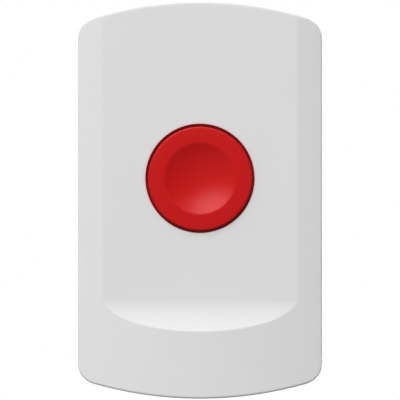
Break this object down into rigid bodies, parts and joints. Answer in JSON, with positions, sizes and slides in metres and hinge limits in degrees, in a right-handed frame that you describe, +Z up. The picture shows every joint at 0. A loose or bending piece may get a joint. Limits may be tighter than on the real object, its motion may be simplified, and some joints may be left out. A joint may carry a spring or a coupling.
{
  "type": "panic button",
  "caption": "Wall-mounted panic button: a barrel-fronted cover with a flat face and a large dished push button, clipped over a base with a board, a push switch and a cell.",
  "frame": {"origin": "on the wall plane at the back of the base, half-way between the two wall screws", "axes": "+Z up the wall, +X to the right seen from the front, +Y into the wall, so the front faces -Y"},
  "size_m": [0.07, 0.0257, 0.114],
  "materials": {
    "housing": "fine satin moulded white plastic",
    "base": "fine matt moulded white plastic",
    "button": "smooth semi-gloss red plastic",
    "retainer": "natural off-white plastic",
    "steel": "zinc-plated steel",
    "spring_steel": "drawn spring wire",
    "board": "green solder mask",
    "black_plastic": "matt black moulded plastic",
    "tinned": "tinned metal",
    "bare_can": "bare drawn can",
    "ceramic": "fired ceramic with tinned ends",
    "antenna_wire": "bare copper wire",
    "sleeve": "shrunk plastic sleeve, plain"
  },
  "bodies": {
    "base": {"rear_base": "base", "circuit_board": "board", "board_screws": "steel", "switch_body": "black_plastic", "switch_legs": "tinned", "radio_shield": "tinned", "microcontroller": "black_plastic", "microcontroller_legs": "tinned", "crystal": "tinned", "storage_capacitor": "bare_can", "chip_capacitors": "ceramic", "chip_resistors": "black_plastic", "antenna": "antenna_wire", "cell_holder": "black_plastic", "cell_can": "bare_can", "cell_sleeve": "sleeve", "positive_contact": "tinned", "negative_contact": "tinned", "contact_spring": "spring_steel"},
    "cover": {"front_cover": "housing", "button_retainer": "retainer", "retainer_screws": "steel", "return_spring": "spring_steel"},
    "button": {"button_cap": "button"},
    "plunger": {"switch_plunger": "black_plastic"}
  },
  "joints": [
    {"name": "cover_release", "type": "slide", "parent": "base", "child": "cover", "axis": [0, -1, 0], "range_m": [0, 0.045]},
    {"name": "button_press", "type": "slide", "parent": "cover", "child": "button", "axis": [0, 1, 0], "range_m": [0, 0.0015], "stiffness_N_per_m": 800, "springref_m": -0.0015, "deforming": ["return_spring"]},
    {"name": "switch_press", "type": "slide", "parent": "base", "child": "plunger", "axis": [0, 1, 0], "range_m": [0, 0.0015]}
  ],
  "couplings": [
    {"joint": "switch_press", "follows": "button_press", "ratio": 1}
  ]
}
